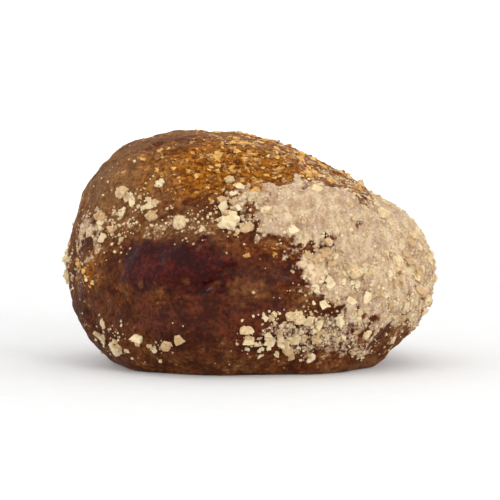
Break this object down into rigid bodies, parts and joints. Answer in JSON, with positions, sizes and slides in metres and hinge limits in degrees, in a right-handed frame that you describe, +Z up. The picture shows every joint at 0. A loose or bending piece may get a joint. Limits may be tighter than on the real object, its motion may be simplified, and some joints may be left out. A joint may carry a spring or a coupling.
{
  "type": "jaggery lump",
  "caption": "Hand-pressed lump of unrefined cane sugar with a leaning domed top, a long sloping side and a flat base to stand on.",
  "frame": {"origin": "under the middle of the lump's box, on the plane of its flat base", "axes": "+Z up from the flat base; -Y out of the front, where the fold is; +X to the right of someone who looks at the front, down the long slope"},
  "size_m": [0.054, 0.05, 0.034],
  "materials": {
    "jaggery": "granular set sugar, dull where it is crumbly and waxy where it was pressed"
  },
  "bodies": {
    "root": {"jaggery_lump": "jaggery"}
  },
  "joints": []
}
